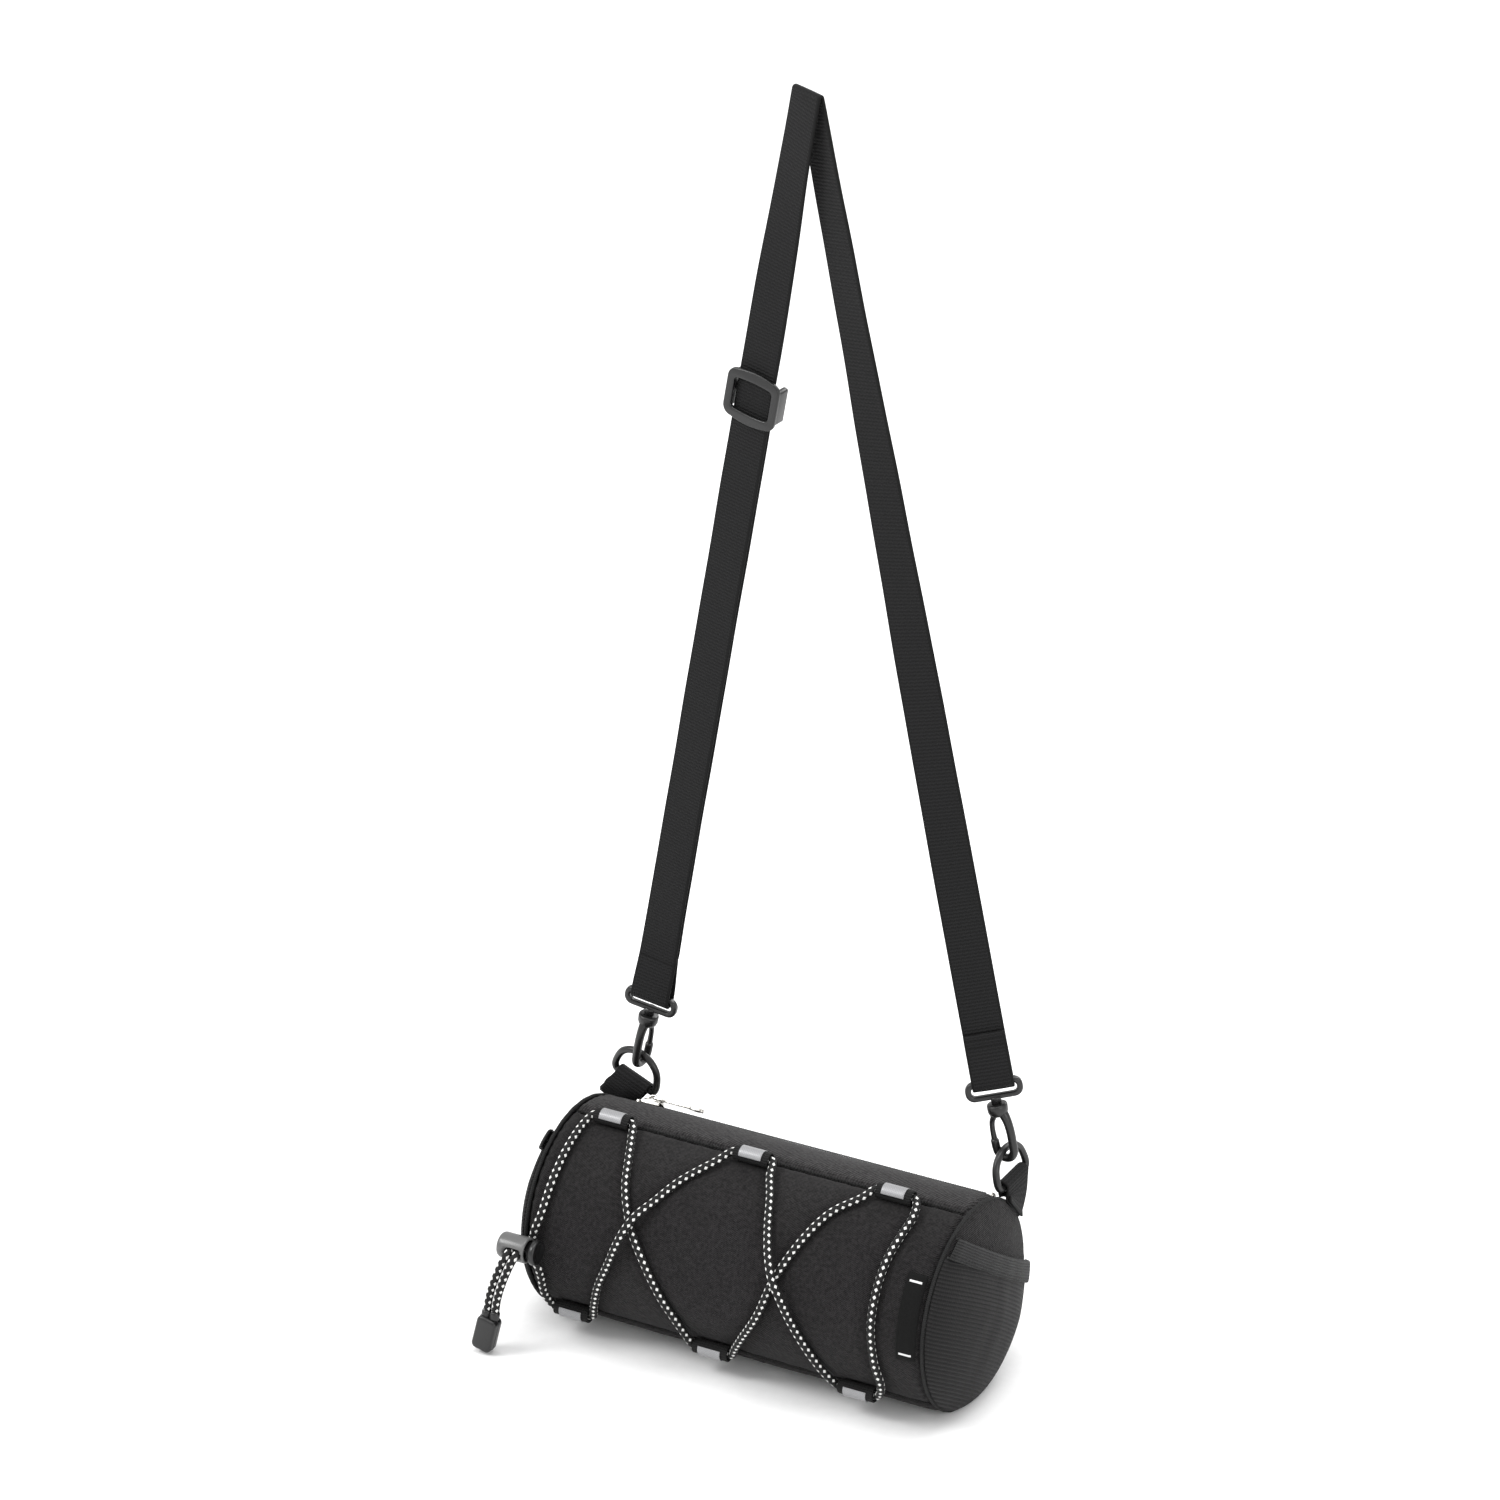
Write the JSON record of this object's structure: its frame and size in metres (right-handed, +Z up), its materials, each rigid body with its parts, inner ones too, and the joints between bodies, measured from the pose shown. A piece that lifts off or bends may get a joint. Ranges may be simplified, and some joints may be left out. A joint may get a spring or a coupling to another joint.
{
  "type": "barrel bag with shoulder strap",
  "caption": "Small zipped barrel bag with shock-cord lacing across its front, stretch end pockets, a cord lock and a clip-on webbing shoulder strap.",
  "frame": {"origin": "middle of the flattened base the bag stands on", "axes": "+X along the barrel towards its right end, -Y towards the laced front, +Z up towards the top of the strap"},
  "size_m": [0.2377, 0.1373, 0.6218],
  "materials": {
    "twill": "matte",
    "yoke_twill": "matte",
    "foam_lining": "matte",
    "rib_knit": "matte",
    "elastic": "matte",
    "zip_tape": "matte",
    "zip_coil": "satin",
    "nickel": "bright",
    "shock_cord": "matte",
    "satin_plastic": "satin",
    "black_plastic": "satin",
    "label": "matte",
    "webbing": "matte",
    "reflective": "satin"
  },
  "bodies": {
    "bag": {"front_panel": "twill", "yoke_front": "yoke_twill", "yoke_back": "yoke_twill", "back_panel": "twill", "base_panel": "twill", "lining": "foam_lining", "end_panel_right": "twill", "end_panel_left": "twill", "end_pocket_right": "rib_knit", "end_pocket_left": "rib_knit", "pocket_elastic_right": "elastic", "pocket_elastic_left": "elastic", "zip_tape_front": "zip_tape", "zip_tape_back": "zip_tape", "zip_coil_front": "zip_coil", "zip_coil_back": "zip_coil", "zip_stop_left": "nickel", "zip_stop_right": "nickel", "shock_cord": "shock_cord", "cord_lock_body": "satin_plastic", "cord_tail_a": "shock_cord", "cord_tail_b": "shock_cord", "cord_end": "black_plastic", "side_label": "label", "tab_left": "webbing", "tab_right": "webbing", "lace_loop_top_1": "webbing", "reflector_top_1": "reflective", "lace_loop_bottom_1": "webbing", "reflector_bottom_1": "reflective", "lace_loop_top_2": "webbing", "reflector_top_2": "reflective", "lace_loop_bottom_2": "webbing", "reflector_bottom_2": "reflective", "lace_loop_top_3": "webbing", "reflector_top_3": "reflective", "lace_loop_bottom_3": "webbing", "reflector_bottom_3": "reflective"},
    "zip_slider": {"zip_slider": "nickel"},
    "zip_pull": {"zip_pull": "nickel"},
    "cord_lock_button": {"cord_lock_button": "black_plastic"},
    "strap_set": {"d_ring_left": "black_plastic", "d_ring_right": "black_plastic", "hook_eye_left": "black_plastic", "hook_eye_right": "black_plastic", "strap": "webbing", "strap_return": "webbing"},
    "hook_left": {"hook_left": "black_plastic"},
    "hook_right": {"hook_right": "black_plastic"},
    "hook_gate_left": {"hook_gate_left": "black_plastic"},
    "hook_gate_right": {"hook_gate_right": "black_plastic"},
    "tri_glide": {"tri_glide": "black_plastic"}
  },
  "joints": [
    {"name": "strap_swing", "type": "hinge", "parent": "bag", "child": "strap_set", "pos_m": [0, 0.043, 0.09425], "axis": [1, 0, 0], "range_deg": [-100, 12], "deforming": ["tab_left", "tab_right"]},
    {"name": "hook_left_swivel", "type": "hinge", "parent": "strap_set", "child": "hook_left", "pos_m": [-0.0924, 0.0406, 0.141], "axis": [0.1854, -0.0248, 0.9824], "range_deg": [-15, 15]},
    {"name": "hook_right_swivel", "type": "hinge", "parent": "strap_set", "child": "hook_right", "pos_m": [0.0924, 0.0406, 0.141], "axis": [-0.1933, -0.0248, 0.9808], "range_deg": [-15, 15]},
    {"name": "hook_left_gate", "type": "hinge", "parent": "hook_left", "child": "hook_gate_left", "pos_m": [-0.09471, 0.04394, 0.12717], "axis": [-0.9775, 0.0977, 0.1869], "range_deg": [0, 24], "stiffness_Nm_per_rad": 0.05},
    {"name": "hook_right_gate", "type": "hinge", "parent": "hook_right", "child": "hook_gate_right", "pos_m": [0.0922, 0.04127, 0.1266], "axis": [-0.0994, -0.994, -0.0447], "range_deg": [0, 24], "stiffness_Nm_per_rad": 0.05},
    {"name": "zip_slide", "type": "slide", "parent": "bag", "child": "zip_slider", "axis": [1, 0, 0], "range_m": [0, 0.16]},
    {"name": "zip_pull_lift", "type": "hinge", "parent": "zip_slider", "child": "zip_pull", "pos_m": [-0.0885, 0.03667, 0.09069], "axis": [0, -0.7547, 0.6561], "range_deg": [0, 75]},
    {"name": "cord_lock_press", "type": "slide", "parent": "bag", "child": "cord_lock_button", "axis": [-1, 0, 0], "range_m": [0, 0.0024], "stiffness_N_per_m": 800},
    {"name": "strap_adjust", "type": "slide", "parent": "strap_set", "child": "tri_glide", "axis": [0.1854, -0.0248, 0.9824], "range_m": [-0.27, 0]}
  ]
}
